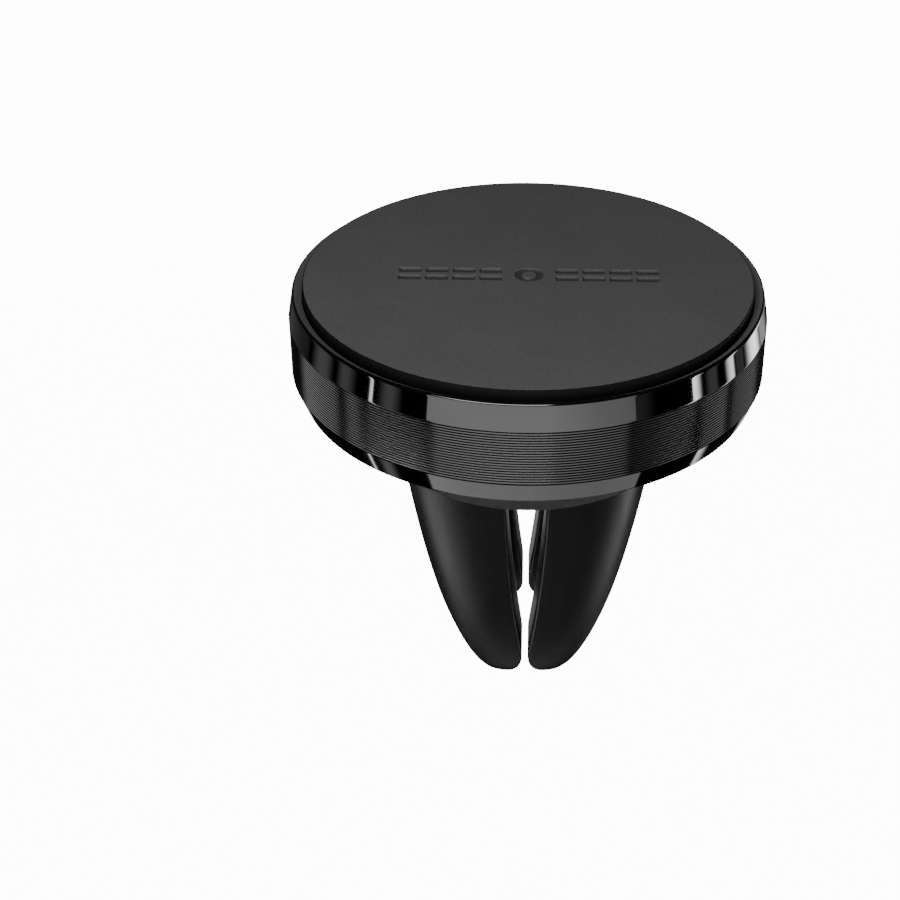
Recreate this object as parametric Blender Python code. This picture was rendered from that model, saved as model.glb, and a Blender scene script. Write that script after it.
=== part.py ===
"""Magnetic phone mount for a car's air vent.

A round magnet head in a turned aluminium ring stands on a clip of four sprung prongs, which grip
a vent blade between them. The origin is under the middle of the prong tips, +Z runs up through
the clip to the pad, X runs across the narrow slot that takes the blade.
"""

import math

import bmesh
import bpy

MM = 0.001

# Overall sizes.
TOTAL_HEIGHT = 38.4 * MM
RING_RADIUS = 20.5 * MM
TURN_STEPS = 60
RING_STEPS = 84
SMALL_STEPS = 24
FIT_GAP = 0.1 * MM
FACE_GAP = 0.05 * MM

# Grip pad and what it is glued to.
PAD_RADIUS = 19.2 * MM
PAD_THICKNESS = 1.5 * MM
PAD_EDGE = 0.25 * MM
GLUE_RADIUS = 18.6 * MM
GLUE_THICKNESS = 0.12 * MM
COVER_RADIUS = 19.15 * MM
COVER_THICKNESS = 1.0 * MM

# Levels of the aluminium ring, from the lip down.
LIP_TOP = TOTAL_HEIGHT - 0.65 * MM
UPPER_BAND_FOOT = TOTAL_HEIGHT - 2.85 * MM
GRIP_BAND_FOOT = TOTAL_HEIGHT - 7.8 * MM
RING_FOOT = TOTAL_HEIGHT - 9.75 * MM
LIP_RADIUS = 20.13 * MM
RING_FOOT_RADIUS = 19.75 * MM
DISH_OUTER_RADIUS = 19.95 * MM
DISH_INNER_RADIUS = 19.3 * MM
DISH_DEPTH = 0.42 * MM
RING_BORE_RADIUS = 18.4 * MM
BASE_SEAT_RADIUS = 18.9 * MM

# Magnets, their carrier and the steel plate behind them.
MAGNET_COUNT = 6
MAGNET_RADIUS = 4.0 * MM
MAGNET_HEIGHT = 2.5 * MM
MAGNET_CIRCLE = 11.4 * MM
CARRIER_RADIUS = 18.25 * MM
CARRIER_HEIGHT = 3.7 * MM
CARRIER_CENTRE_HOLE = 3.4 * MM
YOKE_RADIUS = 18.2 * MM
YOKE_THICKNESS = 1.0 * MM

# Screws.
SCREW_COUNT = 3
SCREW_CIRCLE = 15.7 * MM
SCREW_RADIUS = 0.8 * MM
SCREW_HEAD_RADIUS = 1.5 * MM
SCREW_HEAD_HEIGHT = 0.9 * MM
SCREW_LENGTH = 5.6 * MM
PILOT_GAP = 0.05 * MM
PILOT_DEPTH = 3.0 * MM
CLIP_SCREW_RADIUS = 1.2 * MM
CLIP_SCREW_HEAD_RADIUS = 2.3 * MM
CLIP_SCREW_HEAD_HEIGHT = 1.4 * MM
CLIP_SCREW_LENGTH = 4.6 * MM
WASHER_RADIUS = 3.0 * MM
WASHER_THICKNESS = 0.5 * MM

# Tapered base that closes the ring and carries the clip.
BASE_FOOT = TOTAL_HEIGHT - 15.4 * MM
BASE_FOOT_RADIUS = 13.0 * MM
BASE_FLOOR = 1.7 * MM
BASE_CUP_RADIUS = 12.6 * MM
BASE_OPENING_RADIUS = 11.8 * MM
BASE_FLANGE_RADIUS = 18.8 * MM
BASE_FLANGE_HEIGHT = 1.9 * MM
ROOT_RADIUS = 12.45 * MM

# Prongs: sizes of one quarter of the clip, in plan and along its height.
PRONG_TOP = BASE_FOOT - 0.5 * MM
PRONG_ROOT_LEVEL = 24.0 * MM
TIP_X = 2.0 * MM
TIP_Y = 5.8 * MM
ROOT_HALF_WIDTH = 11.25 * MM
ROOT_HALF_DEPTH = 8.9 * MM
FLARE_POWER = 0.39
GRIP_LEVEL = 3.5 * MM
GRIP_HALF_GAP = 0.25 * MM
ROOT_HALF_GAP = 1.85 * MM
SLOT_FLARE_POWER = 1.9
CROSS_HALF_GAP = 3.1 * MM
TIP_ROUND_X = 2.9 * MM
TIP_ROUND_Y = 6.0 * MM
SLEEVE_WALL = 0.8 * MM
SLEEVE_GAP = 0.06 * MM
CORE_TIP_LEVEL = 2.6 * MM
LOWEST_LEVEL = 0.06 * MM
LEVEL_COUNT = 13
LEVEL_POWER = 2.2
ARC_STEPS = 9

# Hinge of each prong at the clip's root.
HINGE_X = 6.5 * MM
HINGE_Z = BASE_FOOT + 2.0 * MM
KNUCKLE_RADIUS = 3.7 * MM
KNUCKLE_GAP = 0.15 * MM
KNUCKLE_STEPS = 14

PRONG_SIDES = {
    "front_left": (-1, -1),
    "front_right": (1, -1),
    "back_left": (-1, 1),
    "back_right": (1, 1),
}


def clear_scene():
    for old in list(bpy.data.objects):
        bpy.data.objects.remove(old, do_unlink=True)


def make_material(name, colour, roughness, metallic=0.0):
    material = bpy.data.materials.new(name)
    material.use_nodes = True
    shader = material.node_tree.nodes["Principled BSDF"]
    shader.inputs["Base Color"].default_value = (*colour, 1.0)
    shader.inputs["Roughness"].default_value = roughness
    shader.inputs["Metallic"].default_value = metallic
    return material


def add_object(name, bm, material, location=(0.0, 0.0, 0.0)):
    """Turns a bmesh into a smooth-shaded object at a place."""
    bmesh.ops.recalc_face_normals(bm, faces=bm.faces)
    mesh = bpy.data.meshes.new(name)
    bm.to_mesh(mesh)
    bm.free()
    mesh.shade_smooth()
    mesh.set_sharp_from_angle(angle=math.radians(35))
    mesh.materials.append(material)
    obj = bpy.data.objects.new(name, mesh)
    obj.location = location
    bpy.context.scene.collection.objects.link(obj)
    return obj


def turned(name, profile, material, steps=TURN_STEPS, location=(0.0, 0.0, 0.0)):
    """A closed (radius, height) outline turned once about Z."""
    bm = bmesh.new()
    corners = [bm.verts.new((radius, 0.0, height)) for radius, height in profile]
    pairs = zip(corners, corners[1:] + corners[:1])
    edges = [bm.edges.new(pair) for pair in pairs if pair[0].co.x + pair[1].co.x > 0]
    bmesh.ops.spin(
        bm, geom=corners + edges, cent=(0, 0, 0), axis=(0, 0, 1), angle=math.tau, steps=steps
    )
    bmesh.ops.remove_doubles(bm, verts=bm.verts, dist=0.001 * MM)
    return add_object(name, bm, material, location)


def disc(name, radius, foot, top, material, steps=TURN_STEPS, location=(0.0, 0.0, 0.0)):
    profile = [(0, top), (radius, top), (radius, foot), (0, foot)]
    return turned(name, profile, material, steps, location)


def small_disc(name, radius, foot, top, material, location=(0.0, 0.0, 0.0)):
    return disc(name, radius, foot, top, material, SMALL_STEPS, location)


def cut(obj, cutter):
    """Takes the cutter's volume out of an object, and keeps the cutter as a wire guide."""
    cutter.hide_render = True
    cutter.display_type = "WIRE"
    modifier = obj.modifiers.new("cut_" + cutter.name, "BOOLEAN")
    modifier.operation = "DIFFERENCE"
    modifier.object = cutter


def on_circle(radius, count, start=0.0):
    """Points spaced evenly on a circle about Z."""
    angles = [start + math.tau * index / count for index in range(count)]
    return [(radius * math.cos(angle), radius * math.sin(angle), 0.0) for angle in angles]


def screw_places():
    return on_circle(SCREW_CIRCLE, SCREW_COUNT, math.pi / MAGNET_COUNT)


def make_pad(material):
    foot = TOTAL_HEIGHT - PAD_THICKNESS
    profile = [
        (0, TOTAL_HEIGHT),
        (PAD_RADIUS - PAD_EDGE, TOTAL_HEIGHT),
        (PAD_RADIUS, TOTAL_HEIGHT - PAD_EDGE),
        (PAD_RADIUS, foot),
        (0, foot),
    ]
    turned("grip_pad", profile, material)
    return foot


def make_housing_ring(material, ledge):
    """Aluminium ring: dished lip, polished band, grip band, lower chamfer, two inner seats."""
    seat_top = RING_FOOT + BASE_FLANGE_HEIGHT + FIT_GAP
    dish_foot = LIP_TOP - DISH_DEPTH
    profile = [
        (DISH_INNER_RADIUS, dish_foot),
        (DISH_OUTER_RADIUS, LIP_TOP),
        (LIP_RADIUS, LIP_TOP - 0.1 * MM),
        (RING_RADIUS, UPPER_BAND_FOOT),
        (RING_RADIUS, GRIP_BAND_FOOT),
        (RING_FOOT_RADIUS, RING_FOOT),
        (BASE_SEAT_RADIUS, RING_FOOT),
        (BASE_SEAT_RADIUS, seat_top),
        (RING_BORE_RADIUS, seat_top),
        (RING_BORE_RADIUS, ledge),
        (DISH_INNER_RADIUS, ledge),
    ]
    turned("housing_ring", profile, material, RING_STEPS)
    return seat_top


def make_carrier(material, magnet_material, foot, top):
    """Plastic carrier with a pocket for each magnet and counterbores for the base screws."""
    bore = CARRIER_CENTRE_HOLE
    profile = [(bore, top), (CARRIER_RADIUS, top), (CARRIER_RADIUS, foot), (bore, foot)]
    carrier = turned("magnet_carrier", profile, material)
    magnet_foot = top - 0.1 * MM - MAGNET_HEIGHT
    spare = 1.0 * MM
    for index, place in enumerate(on_circle(MAGNET_CIRCLE, MAGNET_COUNT), 1):
        name = f"magnet_{index}"
        pocket = (MAGNET_RADIUS + FIT_GAP, magnet_foot - FIT_GAP, top + spare)
        cut(carrier, small_disc(name + "_pocket", *pocket, material, place))
        magnet_top = magnet_foot + MAGNET_HEIGHT
        small_disc(name, MAGNET_RADIUS, magnet_foot, magnet_top, magnet_material, place)
    head_seat = top - SCREW_HEAD_HEIGHT - 2 * FIT_GAP
    for index, place in enumerate(screw_places(), 1):
        head_bore = SCREW_HEAD_RADIUS + 2 * FIT_GAP
        hole = SCREW_RADIUS + 0.2 * MM
        profile = [
            (0, top + spare),
            (head_bore, top + spare),
            (head_bore, head_seat),
            (hole, head_seat),
            (hole, foot - spare),
            (0, foot - spare),
        ]
        cut(carrier, turned(f"head_bore_{index}", profile, material, SMALL_STEPS, place))
    return head_seat + FIT_GAP


def make_yoke(material, foot):
    """Steel plate that closes the magnets' field at the back."""
    top = foot + YOKE_THICKNESS
    hole = CLIP_SCREW_RADIUS + 0.3 * MM
    profile = [(hole, top), (YOKE_RADIUS, top), (YOKE_RADIUS, foot), (hole, foot)]
    yoke = turned("yoke_plate", profile, material)
    for index, place in enumerate(screw_places(), 1):
        size = (SCREW_RADIUS + 0.3 * MM, foot - MM, top + MM)
        cut(yoke, small_disc(f"yoke_hole_{index}", *size, material, place))
    return top


def make_base_cover(material, top):
    """Tapered cup: a flange in the ring, a cone down to the clip and an opening for the prongs."""
    cone_top = RING_FOOT - FIT_GAP
    floor = BASE_FOOT + BASE_FLOOR
    profile = [
        (BASE_CUP_RADIUS, top),
        (BASE_FLANGE_RADIUS, top),
        (BASE_FLANGE_RADIUS, cone_top),
        (BASE_FOOT_RADIUS, BASE_FOOT),
        (BASE_OPENING_RADIUS, BASE_FOOT),
        (BASE_OPENING_RADIUS, floor),
        (BASE_CUP_RADIUS, floor),
    ]
    cover = turned("base_cover", profile, material)
    for index, place in enumerate(screw_places(), 1):
        size = (SCREW_RADIUS + PILOT_GAP, top - PILOT_DEPTH, top + MM)
        cut(cover, small_disc(f"pilot_{index}", *size, material, place))
    return floor


def make_base_screws(material, head_foot):
    for index, place in enumerate(screw_places(), 1):
        head_top = head_foot + SCREW_HEAD_HEIGHT
        tip = head_foot - SCREW_LENGTH
        profile = [
            (0, head_top),
            (SCREW_HEAD_RADIUS - 0.2 * MM, head_top),
            (SCREW_HEAD_RADIUS, head_foot + 0.5 * MM),
            (SCREW_HEAD_RADIUS, head_foot),
            (SCREW_RADIUS, head_foot),
            (SCREW_RADIUS, tip + 0.6 * MM),
            (0, tip),
        ]
        turned(f"base_screw_{index}", profile, material, SMALL_STEPS, place)


def make_clip_screw(material, yoke_top):
    """The screw and washer that hold the clip's root up against the steel plate."""
    washer_foot = yoke_top + FACE_GAP
    washer_top = washer_foot + WASHER_THICKNESS
    bore = CLIP_SCREW_RADIUS + FIT_GAP
    washer = [
        (bore, washer_top),
        (WASHER_RADIUS, washer_top),
        (WASHER_RADIUS, washer_foot),
        (bore, washer_foot),
    ]
    turned("clip_washer", washer, material, SMALL_STEPS)
    head_foot = washer_top + FACE_GAP
    head_top = head_foot + CLIP_SCREW_HEAD_HEIGHT
    tip = head_foot - CLIP_SCREW_LENGTH
    profile = [
        (0, head_top),
        (CLIP_SCREW_HEAD_RADIUS - 0.4 * MM, head_top),
        (CLIP_SCREW_HEAD_RADIUS, head_foot + 0.6 * MM),
        (CLIP_SCREW_HEAD_RADIUS, head_foot),
        (CLIP_SCREW_RADIUS, head_foot),
        (CLIP_SCREW_RADIUS, tip + 0.7 * MM),
        (0, tip),
    ]
    turned("clip_screw", profile, material, SMALL_STEPS)
    return tip


def bar_along_y(name, outline, start, length, material):
    """An (x, z) outline as a straight bar along Y."""
    bm = bmesh.new()
    face = bm.faces.new([bm.verts.new((x, start, z)) for x, z in outline])
    result = bmesh.ops.extrude_face_region(bm, geom=[face])
    moved = [item for item in result["geom"] if isinstance(item, bmesh.types.BMVert)]
    bmesh.ops.translate(bm, verts=moved, vec=(0, length, 0))
    return add_object(name, bm, material)


def knuckle_pocket(side):
    """(x, z) outline of the hollow that a prong's knuckle turns in, open downwards."""
    radius = KNUCKLE_RADIUS + KNUCKLE_GAP
    arc = [math.pi * step / KNUCKLE_STEPS for step in range(KNUCKLE_STEPS + 1)]
    points = [(HINGE_X + radius * math.cos(a), HINGE_Z + radius * math.sin(a)) for a in arc]
    points += [(HINGE_X - radius, BASE_FOOT), (HINGE_X + radius, BASE_FOOT)]
    return [(side * x, z) for x, z in points]


def make_clip_root(material, floor, top, screw_tip):
    """The clip's root: a disc caught in the base cup, with a pocket for each prong's knuckle."""
    root = disc("clip_root", ROOT_RADIUS, floor + FIT_GAP, top, material)
    wall = CROSS_HALF_GAP + SLEEVE_WALL - KNUCKLE_GAP
    for place, (side_x, side_y) in PRONG_SIDES.items():
        start, length = side_y * wall, side_y * 2 * ROOT_RADIUS
        outline = knuckle_pocket(side_x)
        cut(root, bar_along_y("pocket_" + place, outline, start, length, material))
    pilot = (CLIP_SCREW_RADIUS + PILOT_GAP, screw_tip - 0.3 * MM, top + MM)
    cut(root, small_disc("clip_pilot", *pilot, material))


def shrink_at_tip(level, rounding):
    """How far in from straight a rounded tip is at a level: 0 above the rounding, 1 at the end."""
    rise = min(max(level / rounding, 0.0), 1.0)
    return 1.0 - math.sqrt(1.0 - (1.0 - rise) ** 2)


def slot_half_gap(level):
    """Half the narrow slot: parallel where it grips the blade, flared towards the root."""
    rise = max(level - GRIP_LEVEL, 0.0) / (PRONG_ROOT_LEVEL - GRIP_LEVEL)
    flare = 1.0 - (1.0 - rise) ** SLOT_FLARE_POWER
    return GRIP_HALF_GAP + (ROOT_HALF_GAP - GRIP_HALF_GAP) * flare


def prong_extents(level, inset):
    """Inner x, outer x, inner y and outer y of a prong's section at a level, grown in by inset."""
    rise = level / PRONG_ROOT_LEVEL
    outer_x = TIP_X + (ROOT_HALF_WIDTH - TIP_X) * rise**FLARE_POWER
    outer_y = TIP_Y + (ROOT_HALF_DEPTH - TIP_Y) * math.sqrt(1.0 - (1.0 - rise) ** 5)
    gap = slot_half_gap(level)
    inner_x = gap + (TIP_X - gap) * shrink_at_tip(level, TIP_ROUND_X)
    inner_y = CROSS_HALF_GAP + (TIP_Y - CROSS_HALF_GAP) * shrink_at_tip(level, TIP_ROUND_Y)
    return inner_x + inset, outer_x - inset, inner_y + inset, outer_y - inset


def prong_section(level, inset):
    """Plan of a prong: a square inner corner and a quarter of an ellipse outside."""
    inner_x, outer_x, inner_y, outer_y = prong_extents(level, inset)
    corner = (inner_x, inner_y)
    angles = [0.5 * math.pi * step / ARC_STEPS for step in range(ARC_STEPS + 1)]
    arc = [
        (inner_x + (outer_x - inner_x) * math.cos(a), inner_y + (outer_y - inner_y) * math.sin(a))
        for a in angles
    ]
    return [corner] + arc


def lofted(name, sections, material, pivot):
    """A solid through plan sections, each a (level, points) pair, as an object about a pivot."""
    bm = bmesh.new()
    px, py, pz = pivot
    rings = []
    for level, points in sections:
        rings.append([bm.verts.new((x - px, y - py, level - pz)) for x, y in points])
    for low, high in zip(rings, rings[1:]):
        for index in range(len(low)):
            after = (index + 1) % len(low)
            bm.faces.new((low[index], low[after], high[after], high[index]))
    bm.faces.new(rings[0])
    bm.faces.new(rings[-1])
    return add_object(name, bm, material, pivot)


def prong_levels(low, high):
    """Levels from low to high, close together at the tip and wider apart towards the root."""
    steps = [(step / LEVEL_COUNT) ** LEVEL_POWER for step in range(LEVEL_COUNT + 1)]
    return [low + (high - low) * step for step in steps]


def prong_shape(name, place, levels, inset, material):
    """One quarter of the clip through some levels, as an object about its hinge line."""
    side_x, side_y = PRONG_SIDES[place]
    sections = []
    for level in levels:
        plan = prong_section(max(level, LOWEST_LEVEL), inset)
        sections.append((level, [(side_x * x, side_y * y) for x, y in plan]))
    return lofted(name, sections, material, (side_x * HINGE_X, 0.0, HINGE_Z))


def make_prong_sleeve(place, material):
    """Soft sleeve: the prong's whole outer shape, hollow for the core and open at the top."""
    sleeve = prong_shape("prong_sleeve_" + place, place, prong_levels(0.0, PRONG_TOP), 0.0, material)
    levels = prong_levels(CORE_TIP_LEVEL - SLEEVE_GAP, PRONG_TOP + MM)
    wall = SLEEVE_WALL - SLEEVE_GAP
    cut(sleeve, prong_shape("sleeve_hollow_" + place, place, levels, wall, material))


def knuckle_sections(plan):
    """The core's plan above the sleeve, drawn out to the width of a round knuckle at each level."""
    low_x = min(x for x, _ in plan)
    span = max(x for x, _ in plan) - low_x
    sections = []
    for step in range(KNUCKLE_STEPS // 2):
        rise = 0.5 * math.pi * step / (KNUCKLE_STEPS // 2)
        half = KNUCKLE_RADIUS * math.cos(rise)
        widened = [(HINGE_X + half * (2 * (x - low_x) / span - 1), y) for x, y in plan]
        sections.append((HINGE_Z + KNUCKLE_RADIUS * math.sin(rise), widened))
    return sections


def make_prong_core(place, material):
    """Stiff core: fills the sleeve and ends in a round knuckle on the hinge line."""
    side_x, side_y = PRONG_SIDES[place]
    levels = prong_levels(CORE_TIP_LEVEL, PRONG_TOP)
    sections = [(level, prong_section(level, SLEEVE_WALL)) for level in levels]
    sections += knuckle_sections(sections[-1][1])
    sections = [(level, [(side_x * x, side_y * y) for x, y in plan]) for level, plan in sections]
    lofted("prong_core_" + place, sections, material, (side_x * HINGE_X, 0.0, HINGE_Z))


def main():
    clear_scene()
    soft_black = make_material("soft_touch_black", (0.055, 0.055, 0.056), 0.62)
    anodised = make_material("anodised_black", (0.03, 0.03, 0.031), 0.16, 0.9)
    base_plastic = make_material("moulded_black", (0.022, 0.022, 0.022), 0.48)
    inner_plastic = make_material("inner_grey_plastic", (0.12, 0.12, 0.125), 0.5)
    sleeve_rubber = make_material("satin_rubber", (0.018, 0.018, 0.018), 0.38)
    core_nylon = make_material("core_nylon", (0.08, 0.08, 0.085), 0.45)
    glue = make_material("glue_film", (0.5, 0.5, 0.48), 0.6)
    nickel = make_material("nickel_plate", (0.62, 0.61, 0.59), 0.22, 1.0)
    steel = make_material("zinc_steel", (0.48, 0.49, 0.5), 0.35, 1.0)

    pad_foot = make_pad(soft_black)
    glue_foot = pad_foot - FACE_GAP - GLUE_THICKNESS
    disc("pad_adhesive", GLUE_RADIUS, glue_foot, glue_foot + GLUE_THICKNESS, glue)
    cover_top = glue_foot - FACE_GAP
    cover_foot = cover_top - COVER_THICKNESS
    disc("front_cover", COVER_RADIUS, cover_foot, cover_top, inner_plastic)
    ledge = cover_foot - FACE_GAP
    seat_top = make_housing_ring(anodised, ledge)
    base_top = seat_top - FIT_GAP
    yoke_top = make_yoke(steel, base_top + FIT_GAP)
    carrier_top = yoke_top + FIT_GAP + CARRIER_HEIGHT
    head_foot = make_carrier(inner_plastic, nickel, yoke_top + FIT_GAP, carrier_top)
    make_base_screws(steel, head_foot)
    floor = make_base_cover(base_plastic, base_top)
    screw_tip = make_clip_screw(steel, yoke_top)
    make_clip_root(core_nylon, floor, base_top, screw_tip)
    for place in PRONG_SIDES:
        make_prong_sleeve(place, sleeve_rubber)
        make_prong_core(place, core_nylon)


main()
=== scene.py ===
import math

import bpy
import numpy as np
from mathutils import Matrix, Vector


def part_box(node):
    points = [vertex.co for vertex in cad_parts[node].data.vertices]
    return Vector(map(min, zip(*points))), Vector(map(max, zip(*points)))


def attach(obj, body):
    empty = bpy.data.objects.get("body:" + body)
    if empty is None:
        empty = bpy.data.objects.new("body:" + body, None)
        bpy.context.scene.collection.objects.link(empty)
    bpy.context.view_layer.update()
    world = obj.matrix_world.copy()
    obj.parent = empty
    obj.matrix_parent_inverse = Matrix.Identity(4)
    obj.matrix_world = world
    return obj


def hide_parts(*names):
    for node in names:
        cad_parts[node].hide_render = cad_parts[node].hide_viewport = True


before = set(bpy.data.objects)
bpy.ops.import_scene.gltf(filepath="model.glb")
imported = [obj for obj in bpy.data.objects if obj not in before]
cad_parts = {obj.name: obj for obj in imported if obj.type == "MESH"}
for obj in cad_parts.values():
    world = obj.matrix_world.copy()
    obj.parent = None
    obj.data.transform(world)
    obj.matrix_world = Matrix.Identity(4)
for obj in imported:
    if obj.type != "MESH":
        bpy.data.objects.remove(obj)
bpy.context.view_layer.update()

mm = 0.001
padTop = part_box("grip_pad")[1].z


def quadsOfGrid(rows, cols, wrap):
    # corner numbers of a grid's quads, row by row; wrap joins the last column to the first
    row, col = np.meshgrid(np.arange(rows - 1), np.arange(cols if wrap else cols - 1), indexing="ij")
    nextCol = (col + 1) % cols
    corners = [row * cols + col, row * cols + nextCol, (row + 1) * cols + nextCol, (row + 1) * cols + col]
    return np.stack(corners, axis=-1).reshape(-1, 4)


def mergedPoints(points, quads, within=2e-7):
    # points closer than the step become one, so that seams and poles close
    _, first, index = np.unique(
        np.round(points / within).astype(np.int64), axis=0, return_index=True, return_inverse=True
    )
    return points[first], index.reshape(-1)[quads]


def addPiece(name, points, quads, materials, faceMaterial=None, sharpAngle=40):
    # puts arrays into a mesh, turns it outwards if its volume is negative, and shades it smooth, except
    # where faces meet at more than sharpAngle degrees
    points, quads = mergedPoints(points, quads)
    a, b, c, d = (points[quads[:, k]] for k in range(4))
    volume = (np.cross(a, b) * c).sum() + (np.cross(a, c) * d).sum()
    if volume < 0:
        quads = quads[:, ::-1]
    faces = [list(dict.fromkeys(face)) for face in quads.tolist()]
    kept = [k for k, face in enumerate(faces) if len(face) > 2]
    mesh = bpy.data.meshes.new(name)
    mesh.from_pydata(points, [], [faces[k] for k in kept])
    for material in materials:
        mesh.materials.append(material)
    if faceMaterial is not None:
        mesh.polygons.foreach_set("material_index", np.asarray(faceMaterial, np.int32)[kept])
    mesh.shade_smooth()
    mesh.set_sharp_from_angle(angle=math.radians(sharpAngle))
    mesh.update()
    piece = bpy.data.objects.new(name, mesh)
    bpy.context.scene.collection.objects.link(piece)
    return piece


def softOutline(corners, arcSteps=6):
    # a path through (across, up, radius) corners, each rounded by an arc that is tangent to both its sides
    points = []
    spots = np.array([corner[:2] for corner in corners], float)
    for k, (x, z, radius) in enumerate(corners):
        before, after = spots[k - 1] - spots[k], spots[(k + 1) % len(spots)] - spots[k]
        before, after = before / np.linalg.norm(before), after / np.linalg.norm(after)
        half = 0.5 * math.acos(np.clip(before @ after, -1, 1))
        if radius <= 0 or half > 1.56:  # a sharp corner, or one that hardly turns
            points.append([x, z])
            continue
        reach = radius / math.tan(half)
        centre = spots[k] + (before + after) / np.linalg.norm(before + after) * radius / math.sin(half)
        start, end = spots[k] + before * reach - centre, spots[k] + after * reach - centre
        turn = math.atan2(start[0] * end[1] - start[1] * end[0], start @ end)
        angles = math.atan2(start[1], start[0]) + turn * np.linspace(0, 1, arcSteps + 1)
        points += (centre + radius * np.stack([np.cos(angles), np.sin(angles)], axis=-1)).tolist()
    return np.array(points)


def turnedPiece(name, outline, materials, steps=320, rowMaterial=None):
    # a closed (radius, height) outline carried once round the vertical axis
    angles = 2 * math.pi * np.arange(steps) / steps
    closed = np.vstack([outline, outline[:1]])
    radius, height = closed[:, 0:1], closed[:, 1:2]
    grid = np.stack([radius * np.cos(angles), radius * np.sin(angles), height + 0 * angles], axis=-1)
    quads = quadsOfGrid(len(closed), steps, True)
    faceMaterial = None
    if rowMaterial is not None:
        faceMaterial = np.repeat(rowMaterial(0.5 * (closed[:-1] + closed[1:])), steps)
    return addPiece(name, grid.reshape(-1, 3), quads, materials, faceMaterial)


def newMaterial(name):
    material = bpy.data.materials.new(name)
    material.use_nodes = True
    tree = material.node_tree
    return material, tree, tree.nodes["Principled BSDF"]


def objectPlaces(tree, scale):
    # object coordinates, in steps of 1 / scale metres
    places = tree.nodes.new("ShaderNodeTexCoord")
    mapping = tree.nodes.new("ShaderNodeMapping")
    mapping.inputs["Scale"].default_value = scale if isinstance(scale, tuple) else (scale,) * 3
    tree.links.new(places.outputs["Object"], mapping.inputs["Vector"])
    return mapping.outputs["Vector"]


def noiseField(tree, scale, detail=3.0, roughness=0.55):
    # noise with about scale grains to the metre, or one number for each axis
    noise = tree.nodes.new("ShaderNodeTexNoise")
    noise.inputs["Scale"].default_value = 1.0
    noise.inputs["Detail"].default_value = detail
    noise.inputs["Roughness"].default_value = roughness
    tree.links.new(objectPlaces(tree, scale), noise.inputs["Vector"])
    return noise.outputs["Fac"]


def spread(tree, field, low, high, start=0.35, end=0.65):
    # a field's start to end becomes low to high
    node = tree.nodes.new("ShaderNodeMapRange")
    for socket, value in zip(("From Min", "From Max", "To Min", "To Max"), (start, end, low, high)):
        node.inputs[socket].default_value = value
    tree.links.new(field, node.inputs["Value"])
    return node.outputs["Result"]


def tinted(tree, field, dark, light, start=0.35, end=0.65):
    # a field's start to end becomes dark to light
    ramp = tree.nodes.new("ShaderNodeValToRGB")
    ramp.color_ramp.elements[0].position = start
    ramp.color_ramp.elements[1].position = end
    ramp.color_ramp.elements[0].color = (*dark, 1.0)
    ramp.color_ramp.elements[1].color = (*light, 1.0)
    tree.links.new(field, ramp.inputs["Fac"])
    return ramp.outputs["Color"]


def bumped(tree, shader, field, height):
    # a field lifts the surface by up to height, in metres
    bump = tree.nodes.new("ShaderNodeBump")
    bump.inputs["Strength"].default_value = 1.0
    bump.inputs["Distance"].default_value = height
    tree.links.new(field, bump.inputs["Height"])
    tree.links.new(bump.outputs["Normal"], shader.inputs["Normal"])


def grey(level, warm=0.0):
    return (level * (1 + warm), level, level * (1 - warm))


def grainedPlastic(name, level, roughness, grain=2600.0, height=0.004 * mm, warm=0.0, gloss=0.5):
    # moulded or rubbery surface: fine grain in height and gloss, faint cloudiness in colour
    look = {"cloudScale": 220.0, "cloudiness": 0.14}
    material, tree, shader = newMaterial(name)
    fine = noiseField(tree, grain, 2.0)
    broad = noiseField(tree, look["cloudScale"], 3.0)
    dark, light = level * (1 - look["cloudiness"]), level * (1 + look["cloudiness"])
    colour = tinted(tree, broad, grey(dark, warm), grey(light, warm))
    tree.links.new(colour, shader.inputs["Base Color"])
    tree.links.new(spread(tree, fine, roughness - 0.05, roughness + 0.05), shader.inputs["Roughness"])
    bumped(tree, shader, fine, height)
    shader.inputs["Specular IOR Level"].default_value = gloss
    return material


def platedMetal(name, level, roughness, warm=0.0):
    # plated or machined metal with a faint turned grain and small stains
    look = {
        "grainScale": (1800.0, 1800.0, 9000.0), "grainHeight": 0.0015 * mm,
        "stainScale": 260.0, "stained": 0.82,
    }
    material, tree, shader = newMaterial(name)
    grain = noiseField(tree, look["grainScale"], 2.0)
    stains = noiseField(tree, look["stainScale"], 4.0)
    colour = tinted(tree, stains, grey(level * look["stained"], warm), grey(level, warm))
    tree.links.new(colour, shader.inputs["Base Color"])
    tree.links.new(spread(tree, grain, roughness - 0.06, roughness + 0.08), shader.inputs["Roughness"])
    bumped(tree, shader, grain, look["grainHeight"])
    shader.inputs["Metallic"].default_value = 1.0
    return material


def turnedAnodising(name, level, roughness):
    # clear black anodised aluminium: turning lines too fine to see singly soften the gloss along the height
    look = {"lineScale": (300.0, 300.0, 52000.0), "lineHeight": 0.00003 * mm, "cloudScale": 120.0}
    material, tree, shader = newMaterial(name)
    lines = noiseField(tree, look["lineScale"], 1.0)
    cloud = noiseField(tree, look["cloudScale"], 3.0)
    colour = tinted(tree, cloud, grey(level * 0.93), grey(level * 1.07))
    tree.links.new(colour, shader.inputs["Base Color"])
    tree.links.new(spread(tree, cloud, roughness - 0.01, roughness + 0.01), shader.inputs["Roughness"])
    bumped(tree, shader, lines, look["lineHeight"])
    shader.inputs["Metallic"].default_value = 1.0
    return material


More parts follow.
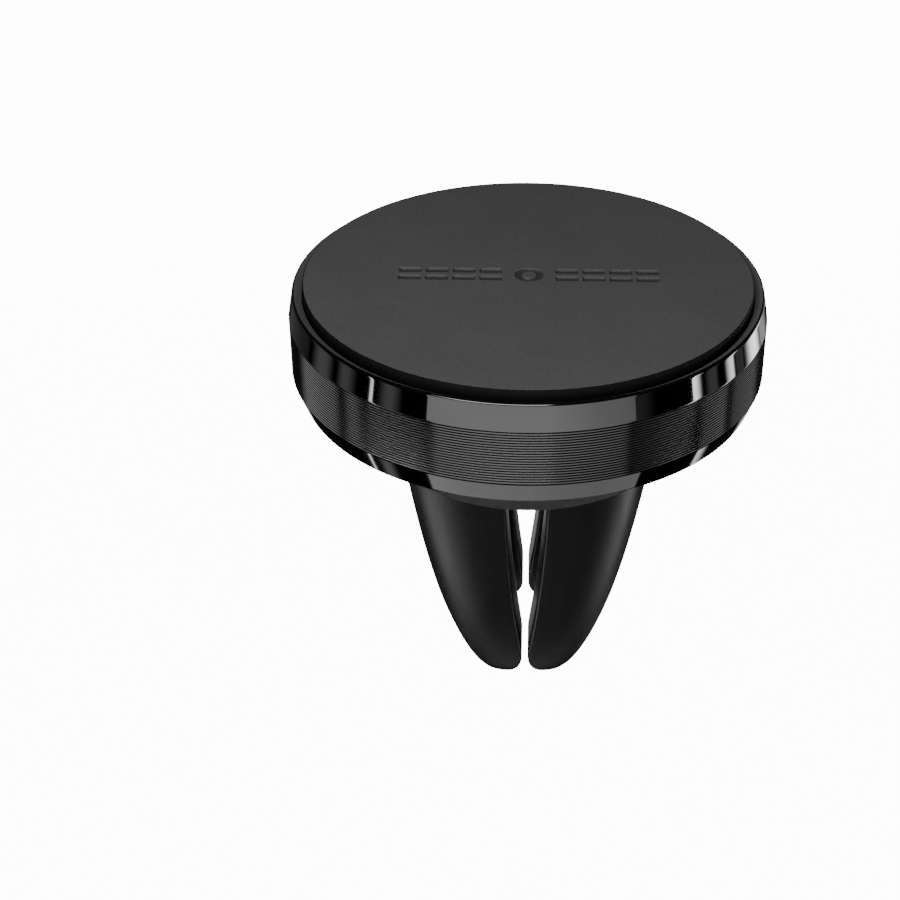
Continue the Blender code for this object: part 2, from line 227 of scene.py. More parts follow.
def satinAnodising():
    # the dished lip: bead-blasted before anodising, so it is an even matte grey
    look = {
        "level": 0.12, "roughness": 0.62, "metallic": 0.6, "blastScale": 6500.0, "blastHeight": 0.004 * mm,
    }
    material, tree, shader = newMaterial("anodisedSatin")
    blast = noiseField(tree, look["blastScale"], 2.0)
    colour = tinted(tree, blast, grey(look["level"] * 0.88), grey(look["level"] * 1.12))
    tree.links.new(colour, shader.inputs["Base Color"])
    uneven = spread(tree, blast, look["roughness"] - 0.05, look["roughness"] + 0.05)
    tree.links.new(uneven, shader.inputs["Roughness"])
    bumped(tree, shader, blast, look["blastHeight"])
    shader.inputs["Metallic"].default_value = look["metallic"]
    return material


def multiplied(tree, first, second):
    # one colour times another
    mix = tree.nodes.new("ShaderNodeMix")
    mix.data_type = "RGBA"
    mix.blend_type = "MULTIPLY"
    mix.inputs["Factor"].default_value = 1.0
    tree.links.new(first, mix.inputs["A"])
    tree.links.new(second, mix.inputs["B"])
    return mix.outputs["Result"]


def softTouchSkin():
    # soft-touch coating: matte, very fine speckle of lighter grains, faint cloudiness, and painted shade
    # that darkens the pressed mark by its depth
    look = {
        "level": 0.050, "speckle": 0.066, "speckleScale": 7800.0, "speckleHeight": 0.006 * mm,
        "cloud": 0.93, "cloudScale": 160.0, "roughness": 0.66, "gloss": 0.35, "markShade": 0.42,
    }
    material, tree, shader = newMaterial("softTouchSkin")
    speckle = noiseField(tree, look["speckleScale"], 2.0, 0.7)
    cloud = noiseField(tree, look["cloudScale"], 3.0)
    grains = tinted(tree, speckle, grey(look["level"]), grey(look["speckle"]), 0.40, 0.68)
    clouded = multiplied(tree, grains, tinted(tree, cloud, grey(look["cloud"]), grey(1.0)))
    # painted shade: the colour is darkened where the pressed mark is sunk, and deeper means darker
    recess = tree.nodes.new("ShaderNodeAttribute")
    recess.attribute_name = "recess"
    shade = spread(tree, recess.outputs["Fac"], 1.0, look["markShade"], 0.02, 0.35)
    tree.links.new(multiplied(tree, clouded, shade), shader.inputs["Base Color"])
    uneven = spread(tree, speckle, look["roughness"] + 0.06, look["roughness"] - 0.06)
    tree.links.new(uneven, shader.inputs["Roughness"])
    bumped(tree, shader, speckle, look["speckleHeight"])
    shader.inputs["Specular IOR Level"].default_value = look["gloss"]
    return material


def sleeveRubber():
    # satin silicone sleeve: smooth, with a soft broad gloss and faint flow marks along the prong
    look = {
        "level": 0.002, "roughness": 0.38, "gloss": 0.03, "flowScale": (420.0, 420.0, 70.0),
        "grainScale": 3200.0, "grainHeight": 0.0022 * mm,
    }
    material, tree, shader = newMaterial("sleeveRubber")
    fine = noiseField(tree, look["grainScale"], 2.0)
    flow = noiseField(tree, look["flowScale"], 3.0)
    colour = tinted(tree, flow, grey(look["level"] * 0.85), grey(look["level"] * 1.15))
    tree.links.new(colour, shader.inputs["Base Color"])
    uneven = spread(tree, flow, look["roughness"] - 0.03, look["roughness"] + 0.03)
    tree.links.new(uneven, shader.inputs["Roughness"])
    bumped(tree, shader, fine, look["grainHeight"])
    shader.inputs["Specular IOR Level"].default_value = look["gloss"]
    return material


def markDepth(x, y, mark):
    # how deep the pressed mark is at each point: a ring between two double rows of dashes.
    # each shape is the distance to its edge, and the depth eases in over a narrow sloped border
    middle = 0.5 * (mark["ringOuter"] + mark["ringInner"])
    ring = np.abs(np.hypot(x, y) - middle) - 0.5 * (mark["ringOuter"] - mark["ringInner"])
    pitch = (mark["rowEnd"] - mark["rowStart"]) / mark["dashes"]
    number = np.clip(np.floor((np.abs(x) - mark["rowStart"]) / pitch), 0, mark["dashes"] - 1)
    alongDash = np.abs(np.abs(x) - mark["rowStart"] - (number + 0.5) * pitch) - 0.5 * mark["dashLength"]
    acrossDash = np.abs(np.abs(y) - mark["rowOffset"]) - 0.5 * mark["dashHeight"]
    past = np.stack([alongDash, acrossDash]) + mark["dashRound"]
    dashes = np.hypot(*np.maximum(past, 0)) + np.minimum(past.max(axis=0), 0) - mark["dashRound"]
    inside = np.clip(0.5 - np.minimum(ring, dashes) / mark["edge"], 0, 1)
    return mark["depth"] * inside * inside * (3 - 2 * inside)


def spacedLines(fineHalf, fineCount, whole, coarseCount):
    # even close lines within fineHalf of the middle, then lines that spread out to the rim
    fine = np.linspace(-fineHalf, fineHalf, fineCount)
    out = fineHalf + (whole - fineHalf) * np.linspace(0, 1, coarseCount + 1)[1:] ** 1.25
    return np.concatenate([-out[::-1], fine, out]) / whole


def makeGripPad(skin, wallPaintedShade):
    pad = {
        "radius": 19.2 * mm, "edgeRound": 0.12 * mm, "bottomRound": 0.1 * mm,
        "mark": {
            "ringOuter": 1.2 * mm, "ringInner": 0.66 * mm, "rowStart": 2.1 * mm, "rowEnd": 11.3 * mm,
            "rowOffset": 0.68 * mm, "dashes": 4, "dashLength": 1.86 * mm, "dashHeight": 0.76 * mm,
            "dashRound": 0.12 * mm, "depth": 0.2 * mm, "edge": 0.1 * mm,
        },
        "lines": {
            "fineX": 11.6 * mm, "countX": 330, "outerX": 24,
            "fineY": 1.4 * mm, "countY": 64, "outerY": 30,
        },
    }
    low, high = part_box("grip_pad")
    flat = pad["radius"] - pad["edgeRound"]
    lines = pad["lines"]
    u = spacedLines(lines["fineX"], lines["countX"], flat, lines["outerX"])
    v = spacedLines(lines["fineY"], lines["countY"], flat, lines["outerY"])
    gridU, gridV = np.meshgrid(u, v, indexing="ij")
    # the square grid becomes a disc: each side is drawn in by the half square of the other
    x = flat * gridU * np.sqrt(1 - 0.5 * gridV**2)
    y = flat * gridV * np.sqrt(1 - 0.5 * gridU**2)
    top = np.stack([x, y, high.z - markDepth(x, y, pad["mark"])], axis=-1)
    topQuads = quadsOfGrid(len(u), len(v), False)
    # the rim of the grid, once round, carries the rounded edge, the wall and the underside
    border = np.concatenate([top[:-1, 0], top[-1, :-1], top[:0:-1, -1], top[0, :0:-1]])
    outward = border[:, :2] / np.linalg.norm(border[:, :2], axis=1, keepdims=True)
    side = softOutline([
        (0, high.z, 0),
        (pad["radius"], high.z, pad["edgeRound"]),
        (pad["radius"], low.z, pad["bottomRound"]),
        (0, low.z, 0),
    ])[1:]
    rows = outward[None] * side[:, None, 0:1]
    heights = np.broadcast_to(side[:, None, 1:2], rows[..., :1].shape)
    wall = np.concatenate([rows, heights], axis=-1)
    wallQuads = quadsOfGrid(len(side), len(border), True) + top.shape[0] * top.shape[1]
    points = np.concatenate([top.reshape(-1, 3), wall.reshape(-1, 3)])
    # everything below the very start of the rounded edge takes the near-black finish, painted shade for the
    # dark the pad's wall shows
    dark = np.repeat((side[:-1, 1] < high.z - 0.02 * pad["edgeRound"]).astype(int), len(border))
    faceMaterial = np.concatenate([np.zeros(len(topQuads), int), dark])
    quads = np.concatenate([topQuads[:, ::-1], wallQuads])
    piece = addPiece("gripPadSkin", points, quads, [skin, wallPaintedShade], faceMaterial, sharpAngle=60)
    # the recess attribute is 0 on the flat and 1 at the bottom of the mark, and the skin darkens by it as
    # painted shade
    spots = np.empty(3 * len(piece.data.vertices))
    piece.data.vertices.foreach_get("co", spots)
    down = (high.z - spots[2::3]) / pad["mark"]["depth"]
    onTop = np.hypot(spots[0::3], spots[1::3]) < 0.98 * flat
    recess = piece.data.attributes.new("recess", "FLOAT", "POINT")
    recess.data.foreach_set("value", np.where(onTop & (down < 1.5), np.clip(down, 0, 1), 0.0))
    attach(piece, "head")
    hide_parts("grip_pad")
    print("grip pad", len(piece.data.polygons))


def grooveRows(top, foot, radius, grooves):
    # the grip band from top to foot: flat lands, and between them hollows shaped as half a cosine wave
    pitch = (top - foot) / grooves["count"]
    land = grooves["landShare"]
    places = np.concatenate([[0.04 * land, 0.96 * land], land + (1 - land) * np.linspace(0.0, 1.0, 7)[:-1]])
    hollow = np.where(places > land, 0.5 - 0.5 * np.cos(2 * math.pi * (places - land) / (1 - land)), 0.0)
    offsets = (np.arange(grooves["count"])[:, None] + places[None]).reshape(-1) * pitch
    depths = np.tile(hollow, grooves["count"]) * grooves["depth"]
    return np.stack([radius - depths, top - offsets], axis=-1)


def makeHousingRing(polished, satin, land, hollow):
    ring = {
        "lipDrop": 0.1 * mm, "lipRadius": 20.13 * mm, "lipRound": 0.28 * mm, "radius": 20.5 * mm,
        "footRadius": 19.75 * mm, "dishOuter": 19.95 * mm, "dishInner": 19.3 * mm, "dishDepth": 0.42 * mm,
        "bandFoot": 2.2 * mm, "gripFoot": 7.15 * mm, "ledgeDrop": 2.19 * mm, "bore": 18.4 * mm,
        "seatRadius": 18.9 * mm, "seatHeight": 2.0 * mm, "edge": 0.05 * mm,
        "grooves": {"count": 21, "landShare": 0.46, "depth": 0.1 * mm},
    }
    low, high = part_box("housing_ring")
    edge = ring["edge"]
    gripTop, gripFoot = high.z - ring["bandFoot"], high.z - ring["gripFoot"]
    bandTop = np.array([ring["lipRadius"], high.z - ring["lipDrop"]])
    bandFoot = np.array([ring["radius"], gripTop])
    chamferTop = np.array([ring["radius"], gripFoot])
    chamferFoot = np.array([ring["footRadius"], low.z])
    # rows just inside each end keep the polished band and the foot chamfer flat right up to their edges
    bandRows = [bandTop + share * (bandFoot - bandTop) for share in (0.1, 0.98)]
    chamferRows = [chamferTop + share * (chamferFoot - chamferTop) for share in (0.02, 0.93)]
    upper = softOutline([
        (ring["bore"], high.z - ring["ledgeDrop"], 0),
        (ring["dishInner"], high.z - ring["ledgeDrop"], 0),
        (ring["dishInner"], high.z - ring["dishDepth"], edge),
        (ring["dishOuter"], high.z, edge),
        (*bandTop, ring["lipRound"]),
        *[(*row, 0) for row in bandRows],
        (*bandFoot, 0),
    ], 5)
    lower = softOutline([
        (*chamferTop, 0),
        *[(*row, 0) for row in chamferRows],
        (*chamferFoot, 1.6 * edge),
        (ring["seatRadius"], low.z, edge),
        (ring["seatRadius"], low.z + ring["seatHeight"], 0),
        (ring["bore"], low.z + ring["seatHeight"], 0),
    ], 5)
    grip = grooveRows(gripTop, gripFoot, ring["radius"], ring["grooves"])
    outline = np.concatenate([upper, grip[1:], lower])

    def finishOf(middles):
        # 1 on the dished lip, 2 on the lands of the grip band, 3 in its hollows, whose darker finish is
        # painted shade, 0 elsewhere
        radius, height = middles[:, 0], middles[:, 1]
        dish = (radius < ring["dishOuter"] - 0.2 * edge) & (radius > ring["bore"])
        dish &= height > high.z - ring["ledgeDrop"]
        band = (height < gripTop) & (height > gripFoot) & (radius > ring["dishOuter"])
        sunk = band & (radius < ring["radius"] - 0.2 * ring["grooves"]["depth"])
        return dish.astype(int) + 2 * band.astype(int) + sunk.astype(int)

    piece = turnedPiece("housingRing", outline, [polished, satin, land, hollow], 320, finishOf)
    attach(piece, "head")
    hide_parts("housing_ring")
    print("housing ring", len(piece.data.polygons))


def makeBaseCover(plastic):
    cover = {
        "flangeRadius": 18.8 * mm, "coneGap": 0.1 * mm, "footRadius": 13.0 * mm, "opening": 11.8 * mm,
        "floor": 1.7 * mm, "cup": 12.6 * mm, "edge": 0.25 * mm,
    }
    low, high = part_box("base_cover")
    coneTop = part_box("housing_ring")[0].z - cover["coneGap"]
    outline = softOutline([
        (cover["cup"], high.z, 0),
        (cover["flangeRadius"], high.z, 0),
        (cover["flangeRadius"], coneTop, 0),
        (cover["footRadius"], low.z, cover["edge"]),
        (cover["opening"], low.z, cover["edge"]),
        (cover["opening"], low.z + cover["floor"], 0),
        (cover["cup"], low.z + cover["floor"], 0),
    ])
    piece = turnedPiece("baseCover", outline, [plastic], 240)
    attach(piece, "head")
    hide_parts("base_cover")
    print("base cover", len(piece.data.polygons))


prong = {
    "rootLevel": 24.0 * mm, "tipX": 2.0 * mm, "tipY": 5.8 * mm, "rootHalfWidth": 11.25 * mm,
    "rootHalfDepth": 8.9 * mm, "flarePower": 0.39, "gripLevel": 3.5 * mm, "gripHalfGap": 0.25 * mm,
    "rootHalfGap": 1.85 * mm, "slotPower": 1.9, "crossHalfGap": 3.1 * mm, "tipRoundX": 2.9 * mm,
    "tipRoundY": 6.0 * mm, "wall": 0.74 * mm, "hollowFoot": 2.54 * mm, "edge": 0.32 * mm,
    "innerEdge": 0.08 * mm, "topEdge": 0.22 * mm, "lowestRow": 0.004 * mm,
    "skinRows": 96, "skinCrowding": 2.4, "hollowRows": 24, "hollowCrowding": 1.6,
}


def tipShrink(level, rounding):
    # a quarter circle: 1 at the tip's end, 0 where the rounding stops
    return 1 - np.sqrt(1 - (1 - np.clip(level / rounding, 0, 1)) ** 2)


def prongExtents(level):
    # inner x, outer x, inner y and outer y at each level: the outside flares by a power of the height,
    # the slot widens from its parallel grip to the root, and the inside closes in on the rounded tip
    rise = level / prong["rootLevel"]
    outerX = prong["tipX"] + (prong["rootHalfWidth"] - prong["tipX"]) * rise ** prong["flarePower"]
    outerY = prong["tipY"] + (prong["rootHalfDepth"] - prong["tipY"]) * np.sqrt(1 - (1 - rise) ** 5)
    above = np.maximum(level - prong["gripLevel"], 0) / (prong["rootLevel"] - prong["gripLevel"])
    flare = 1 - (1 - above) ** prong["slotPower"]
    gap = prong["gripHalfGap"] + (prong["rootHalfGap"] - prong["gripHalfGap"]) * flare
    cross = prong["crossHalfGap"]
    innerX = gap + (prong["tipX"] - gap) * tipShrink(level, prong["tipRoundX"])
    innerY = cross + (prong["tipY"] - cross) * tipShrink(level, prong["tipRoundY"])
    return innerX, outerX, innerY, outerY


def prongSections(level, inset, edge, arcSteps=28, cornerSteps=6):
    # plan of a prong at each level: a square inner corner and a quarter ellipse, all three corners rounded
    innerX, outerX, innerY, outerY = (side[:, None] for side in prongExtents(level))
    inset = np.asarray(inset)[:, None]
    innerX, outerX, innerY, outerY = innerX + inset, outerX - inset, innerY + inset, outerY - inset
    size = np.minimum(outerX - innerX, outerY - innerY)
    cornerRadius = np.minimum(edge, 0.32 * np.maximum(size, 0))  # smaller where the tip gets thin
    halfX, halfY = outerX - innerX - 2 * cornerRadius, outerY - innerY - 2 * cornerRadius
    cx, cy = innerX + cornerRadius, innerY + cornerRadius

    def cornerArc(x, y, start, end):
        angle = np.radians(np.linspace(start, end, cornerSteps + 1))[None, :-1]
        return x + cornerRadius * np.cos(angle), y + cornerRadius * np.sin(angle)

    angle = np.linspace(0, 0.5 * math.pi, arcSteps + 1)[None]
    normalX, normalY = halfY * np.cos(angle), halfX * np.sin(angle)
    length = np.maximum(np.hypot(normalX, normalY), 1e-12)
    arc = (
        cx + halfX * np.cos(angle) + cornerRadius * normalX / length,
        cy + halfY * np.sin(angle) + cornerRadius * normalY / length,
    )
    innerFace = cx + halfX * np.linspace(0, 1, 6)[None, 1:-1]
    slotFace = cy + halfY * np.linspace(1, 0, 6)[None, 1:-1]
    runs = [
        cornerArc(cx, cy, 180, 270),
        (innerFace, np.broadcast_to(innerY, innerFace.shape)),
        cornerArc(cx + halfX, cy, 270, 360),
        arc,
        cornerArc(cx, cy + halfY, 90, 180),
        (np.broadcast_to(innerX, slotFace.shape), slotFace),
    ]
    x = np.concatenate([run[0] + 0 * innerX for run in runs], axis=1)
    y = np.concatenate([run[1] + 0 * innerY for run in runs], axis=1)
    return np.stack([x, y, np.broadcast_to(level[:, None], x.shape)], axis=-1)


def makeSleeve(place, sideX, sideY, rubber):
    # one soft sleeve: the outer skin from the tip up, the rounded rim, and the hollow down again
    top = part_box("prong_sleeve_" + place)[1].z
    lowest = prong["lowestRow"]
    climb = np.linspace(0, 1, prong["skinRows"]) ** prong["skinCrowding"]
    skin = lowest + (top - prong["topEdge"] - lowest) * climb
    turn = np.linspace(0, 0.5 * math.pi, 6)[1:]
    rim = top - prong["topEdge"] * (1 - np.sin(turn))
    rimInset = prong["topEdge"] * (1 - np.cos(turn))
    descent = np.linspace(1, 0, prong["hollowRows"]) ** prong["hollowCrowding"]
    hollow = prong["hollowFoot"] + (top - prong["hollowFoot"]) * descent
    outer = prongSections(np.concatenate([skin, rim]), np.concatenate([0 * skin, rimInset]), prong["edge"])
    inner = prongSections(hollow, np.full(len(hollow), prong["wall"]), prong["innerEdge"])
    tip = np.array([prong["tipX"], prong["tipY"], 0.0])
    first = np.broadcast_to(tip, outer[:1].shape)
    last = np.broadcast_to(inner[-1].mean(axis=0), inner[:1].shape)
    grid = np.concatenate([first, outer, inner, last]) * np.array([sideX, sideY, 1.0])
    quads = quadsOfGrid(grid.shape[0], grid.shape[1], True)
    piece = addPiece("sleeve_" + place, grid.reshape(-1, 3), quads, [rubber], sharpAngle=55)
    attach(piece, place + "_prong")
    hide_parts("prong_sleeve_" + place)
    return len(piece.data.polygons)


def makeSleeves(rubber):
    count = 0
    for place, sideX, sideY in (
        ("front_left", -1, -1), ("front_right", 1, -1), ("back_left", -1, 1), ("back_right", 1, 1)
    ):
        count += makeSleeve(place, sideX, sideY, rubber)
    print("sleeves", count)


def finishKeptNodes():
    innerPlastic = grainedPlastic("innerPlastic", 0.10, 0.5)
    coreNylon = grainedPlastic("coreNylon", 0.030, 0.5, 1500.0, 0.006 * mm)
    film = grainedPlastic("adhesiveFilm", 0.45, 0.6, 900.0, 0.003 * mm, 0.03)
    nickel = platedMetal("nickelPlate", 0.66, 0.2, 0.02)
    zinc = platedMetal("zincSteel", 0.55, 0.34, -0.01)
    finishes = {
        "pad_adhesive": film,
        "front_cover": innerPlastic,
        "magnet_carrier": innerPlastic,
        "magnet_": nickel,
        "yoke_plate": zinc,
        "base_screw_": zinc,
        "clip_root": coreNylon,
        "clip_screw": zinc,
        "clip_washer": zinc,
        "prong_core_": coreNylon,
    }
    for name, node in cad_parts.items():
        matches = [start for start in finishes if name.startswith(start)]
        if not matches:
            continue
        material = finishes[max(matches, key=len)]
        node.data.materials.clear()
        node.data.materials.append(material)
    print("kept nodes finished")


def makeCamera():
    view = {
        "place": (0.0, -128.73 * mm, padTop + 66.09 * mm), "lens": 67.68, "yaw": 1.254, "pitch": 30.177,
        "roll": 1.288, "shift": (-0.1223, -0.0958), "clipStart": 5 * mm,
    }
    yaw, pitch, roll = (math.radians(view[key]) for key in ("yaw", "pitch", "roll"))
    forward = np.array([
        math.sin(yaw) * math.cos(pitch),
        math.cos(yaw) * math.cos(pitch),
        -math.sin(pitch),
    ])
    level = np.array([math.cos(yaw), -math.sin(yaw), 0.0])
    above = np.cross(level, forward)
    right = level * math.cos(roll) + above * math.sin(roll)
    up = above * math.cos(roll) - level * math.sin(roll)
    camera = bpy.data.objects.new("camera", bpy.data.cameras.new("camera"))
    camera.data.lens = view["lens"]
    camera.data.sensor_width = 36.0
    camera.data.shift_x, camera.data.shift_y = view["shift"]
    camera.data.clip_start = view["clipStart"]
    matrix = Matrix.Identity(4)
    for row in range(3):
        matrix[row] = (right[row], up[row], -forward[row], view["place"][row])
    camera.matrix_world = matrix
    bpy.context.scene.collection.objects.link(camera)
    bpy.context.scene.camera = camera


def makeFloor():
    # a pale round floor that sweeps up into a wall and closes overhead, so every view has the same backdrop
    floor = {
        "level": -0.5, "flat": 0.9, "sweep": 0.5, "height": 1.2, "flatSteps": 6, "bendSteps": 12,
        "turnSteps": 48, "tone": 0.9, "roughness": 0.9, "glow": 13.0,
    }
    flatSteps, bendSteps, turnSteps = floor["flatSteps"], floor["bendSteps"], floor["turnSteps"]
    wall = floor["flat"] + floor["sweep"]
    bend = np.linspace(-0.5 * math.pi, 0, bendSteps + 1)
    close = np.linspace(0, 0.5 * math.pi, bendSteps + 1)[1:]
    radius = np.concatenate([
        np.linspace(0, floor["flat"], flatSteps + 1)[:-1],
        floor["flat"] + floor["sweep"] * np.cos(bend),
        wall * np.cos(close),
    ])[:, None]
    rise = np.concatenate([
        np.zeros(flatSteps),
        floor["sweep"] * (1 + np.sin(bend)),
        floor["sweep"] + floor["height"] * np.sin(close),
    ])[:, None]
    angles = 2 * math.pi * np.arange(turnSteps) / turnSteps
    grid = np.stack([
        radius * np.cos(angles),
        radius * np.sin(angles),
        floor["level"] + rise + 0 * angles,
    ], axis=-1)
    material, _, shader = newMaterial("paleFloor")
    shader.inputs["Base Color"].default_value = (*grey(floor["tone"]), 1.0)
    shader.inputs["Roughness"].default_value = floor["roughness"]
    shader.inputs["Emission Color"].default_value = (1.0, 1.0, 1.0, 1.0)
    shader.inputs["Emission Strength"].default_value = floor["glow"]
    obj = addPiece("floor", grid.reshape(-1, 3), quadsOfGrid(len(radius), turnSteps, True), [material])
    # it only fills the background: the object is lit by the panels and mirrors them alone
    obj.visible_glossy = False
    obj.visible_diffuse = False
    obj.visible_shadow = False


def makeWorld():
    # a dim grey sky, darker towards the ground; the places run from 0 (straight down) to 1 (straight up)
    sky = {"above": 0.12, "aboveAt": 0.8, "level": 0.07, "levelAt": 0.55, "below": 0.01, "belowAt": 0.35}
    world = bpy.data.worlds.new("studio")
    bpy.context.scene.world = world
    world.use_nodes = True
    tree = world.node_tree
    places = tree.nodes.new("ShaderNodeTexCoord")
    split = tree.nodes.new("ShaderNodeSeparateXYZ")
    ramp = tree.nodes.new("ShaderNodeValToRGB")
    tree.links.new(places.outputs["Generated"], split.inputs["Vector"])
    lift = tree.nodes.new("ShaderNodeMapRange")
    lift.inputs["From Min"].default_value = -1.0
    tree.links.new(split.outputs["Z"], lift.inputs["Value"])
    tree.links.new(lift.outputs["Result"], ramp.inputs["Fac"])
    ramp.color_ramp.elements[0].position = sky["belowAt"]
    ramp.color_ramp.elements[0].color = (*grey(sky["below"]), 1)
    ramp.color_ramp.elements[1].position = sky["aboveAt"]
    ramp.color_ramp.elements[1].color = (*grey(sky["above"]), 1)
    middle = ramp.color_ramp.elements.new(sky["levelAt"])
    middle.color = (*grey(sky["level"]), 1)
    tree.links.new(ramp.outputs["Color"], tree.nodes["Background"].inputs["Color"])


def softSpan(start, end, softStart, softEnd, steps=10, edgeSteps=7):
    # places from start to end, with some in each soft edge, and how bright the light is at each of them
    places = np.unique(np.concatenate([
        np.linspace(start, start + softStart, edgeSteps),
        np.linspace(start + softStart, end - softEnd, steps),
        np.linspace(end - softEnd, end, edgeSteps),
    ]))
    rise = np.clip((places - start) / max(softStart, 1e-6), 0, 1) if softStart else np.ones(len(places))
    fall = np.clip((end - places) / max(softEnd, 1e-6), 0, 1) if softEnd else np.ones(len(places))
    fade = rise * fall
    return places, fade * fade * (3 - 2 * fade)


def addPanel(name, azimuths, soft, elevations, softLow, radiance):
    # a curved light around the head: degrees from the front, positive to the right, and degrees above the
    # horizon; it glows inwards, with soft edges left and right and at its foot
    panel = {"distance": 2.5, "centreHeight": padTop - 5 * mm}
    turn, sideFade = softSpan(*azimuths, *soft)
    lift, footFade = softSpan(*elevations, softLow, 0.0)
    lift, turn = np.meshgrid(np.radians(lift), np.radians(turn), indexing="ij")
    points = panel["distance"] * np.stack(
        [np.cos(lift) * np.sin(turn), -np.cos(lift) * np.cos(turn), np.sin(lift)], axis=-1
    )
    points[..., 2] += panel["centreHeight"]
    mesh = bpy.data.meshes.new(name)
    mesh.from_pydata(points.reshape(-1, 3), [], quadsOfGrid(*lift.shape, False).tolist())
    along = (turn - turn[:, :1]) / (turn[:, -1:] - turn[:, :1])
    glowing = footFade[:, None] * sideFade[None] * (radiance[0] + (radiance[1] - radiance[0]) * along)
    glow = mesh.attributes.new("glow", "FLOAT", "POINT")
    glow.data.foreach_set("value", glowing.reshape(-1))
    material = bpy.data.materials.new(name)
    material.use_nodes = True
    tree = material.node_tree
    tree.nodes.clear()
    reader = tree.nodes.new("ShaderNodeAttribute")
    reader.attribute_name = "glow"
    light = tree.nodes.new("ShaderNodeEmission")
    tree.links.new(reader.outputs["Fac"], light.inputs["Strength"])
    surface = tree.nodes.new("ShaderNodeOutputMaterial")
    tree.links.new(light.outputs["Emission"], surface.inputs["Surface"])
    mesh.materials.append(material)
    obj = bpy.data.objects.new(name, mesh)
    obj.visible_camera = False
    obj.visible_shadow = False
    bpy.context.scene.collection.objects.link(obj)


def addOverhead(name, place, size, radiance):
    # a level soft light that shines straight down
    lamp = bpy.data.lights.new(name, "AREA")
    lamp.shape = "RECTANGLE"
    lamp.size, lamp.size_y = size
    lamp.energy = radiance * math.pi * size[0] * size[1]
    obj = bpy.data.objects.new(name, lamp)
    obj.location = place
    obj.visible_camera = False
    bpy.context.scene.collection.objects.link(obj)


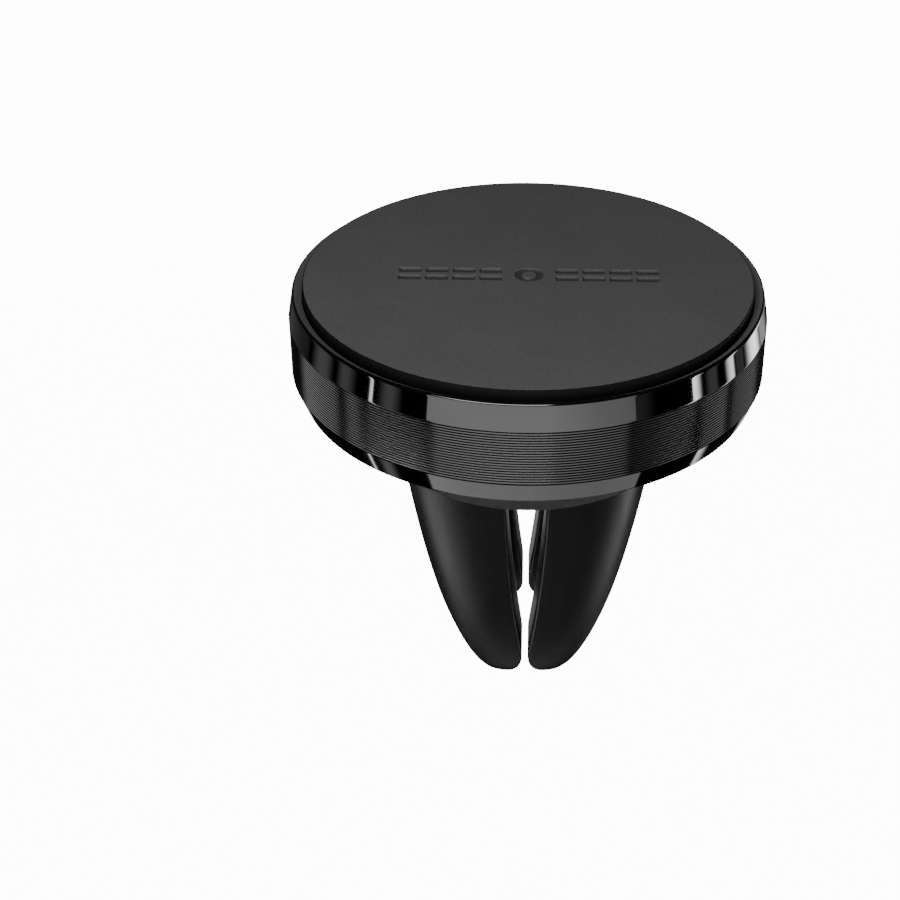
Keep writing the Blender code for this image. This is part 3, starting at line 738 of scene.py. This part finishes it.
def makeLights():
    # name: azimuths, soft edges left and right, elevations, soft foot, radiance at the left and right end.
    # from the top: those down to -28.5 degrees show in the polished band, those down to -35.5 in the grip
    # band, the low pair on the prongs and the under ones in the foot chamfer. none overlaps another,
    # because one of them would be hidden
    overhead = {"place": (-0.05, -0.16, padTop + 0.15), "size": (0.16, 0.1), "radiance": 18.5}
    panels = {
        "frontSoftbox": ((-44.6, 8.0), (0.0, 0.0), (-36.5, 14), 2, (4.9, 4.9)),
        "frontRight": ((8.0, 48.5), (0.0, 0.0), (-36.5, 14), 2, (4.9, 2.8)),
        "leftSoft": ((-71.0, -56.0), (7.0, 7.0), (-28.5, -4), 2, (1.5, 1.5)),
        "leftStrip": ((-75.0, -72.6), (1.5, 0.0), (-28.5, -4), 2, (24.0, 24.0)),
        "leftGrey": ((-96.5, -81.0), (6.0, 8.0), (-28.5, -4), 2, (1.2, 1.2)),
        "leftGreyFar": ((-118.0, -97.0), (11.0, 7.0), (-28.5, -4), 2, (0.9, 0.9)),
        "leftEnd": ((-160.0, -118.0), (10.0, 4.0), (-28.5, -4), 2, (0.11, 0.11)),
        "leftLow": ((-142.0, -99.0), (12.0, 6.0), (-35.5, -29), 1, (0.8, 2.4)),
        "leftLowMiddle": ((-98.0, -84.0), (5.0, 5.0), (-35.5, -29), 1, (3.0, 3.0)),
        "leftLowNear": ((-83.0, -45.5), (4.0, 6.0), (-35.5, -29), 1, (2.0, 0.7)),
        "rightEdge": ((49.0, 60.0), (0.0, 9.0), (-28.5, -4), 2, (0.45, 0.45)),
        "rightStrip": ((79.0, 85.0), (0.0, 5.5), (-28.5, -4), 2, (34.0, 34.0)),
        "rightGrey": ((86.0, 96.5), (4.0, 3.0), (-28.5, -4), 2, (0.9, 0.9)),
        "rightStripFar": ((100.5, 109.0), (5.5, 2.0), (-28.5, -4), 2, (15.0, 15.0)),
        "rightGreyFar": ((109.5, 118.0), (1.0, 2.0), (-28.5, -4), 2, (0.35, 0.35)),
        "rightGlow": ((118.0, 139.0), (14.0, 13.0), (-28.5, -4), 4, (15.0, 15.0)),
        "rightEnd": ((139.0, 160.0), (0.0, 14.0), (-28.5, -4), 4, (1.0, 0.4)),
        "rightLowNear": ((49.5, 88.0), (3.0, 4.0), (-35.5, -29), 1, (0.8, 1.2)),
        "rightLowMiddle": ((89.0, 112.0), (5.0, 5.0), (-35.5, -29), 1, (1.6, 2.0)),
        "rightLow": ((113.0, 149.0), (5.0, 12.0), (-35.5, -29), 1, (1.0, 0.4)),
        "under": ((-85.0, 5.0), (0.0, 0.0), (-89.9, -58), 0, (2.9, 2.9)),
        "underRight": ((5.0, 94.0), (0.0, 0.0), (-89.9, -58), 0, (2.9, 1.7)),
        "underSoftLeft": ((-115.0, -103.0), (5.0, 6.0), (-62, -52), 1, (0.75, 0.75)),
        "underStripLeft": ((-119.7, -118.4), (0.3, 0.0), (-60, -49), 1, (7.0, 7.0)),
        "underStripRight": ((127.2, 134.0), (0.0, 7.0), (-57, -44), 1, (4.0, 4.0)),
        "underRightFar": ((155.0, 167.0), (5.0, 5.0), (-45, -31), 3, (0.6, 0.6)),
        "lowLeft": ((-98.0, -40.0), (18.0, 20.0), (-47, -36), 6, (56.0, 56.0)),
        "lowRight": ((62.0, 108.0), (16.0, 14.0), (-47, -36), 6, (34.0, 34.0)),
        "backSoft": ((168.0, 199.0), (8.0, 8.0), (-45, -3), 6, (3.0, 3.0)),
    }
    for name, panel in panels.items():
        addPanel(name, *panel)
    addOverhead("overhead", overhead["place"], overhead["size"], overhead["radiance"])


def main():
    makeCamera()
    makeFloor()
    makeWorld()
    makeLights()
    print("stage ready")
    skin = softTouchSkin()
    # the pad's wall and underside: near black, painted shade standing in for the dark the wall shows
    wallPaintedShade = grainedPlastic("padWallPaintedShade", 0.002, 0.7, gloss=0.05)
    makeGripPad(skin, wallPaintedShade)
    makeHousingRing(
        turnedAnodising("anodisedPolished", 0.030, 0.045),
        satinAnodising(),
        turnedAnodising("anodisedLand", 0.031, 0.13),
        # the hollows' finish is far darker than the lands': painted shade between the grooves
        turnedAnodising("anodisedHollowPaintedShade", 0.006, 0.35),
    )
    makeBaseCover(grainedPlastic("mouldedBase", 0.010, 0.75, gloss=0.03))
    makeSleeves(sleeveRubber())
    finishKeptNodes()


main()
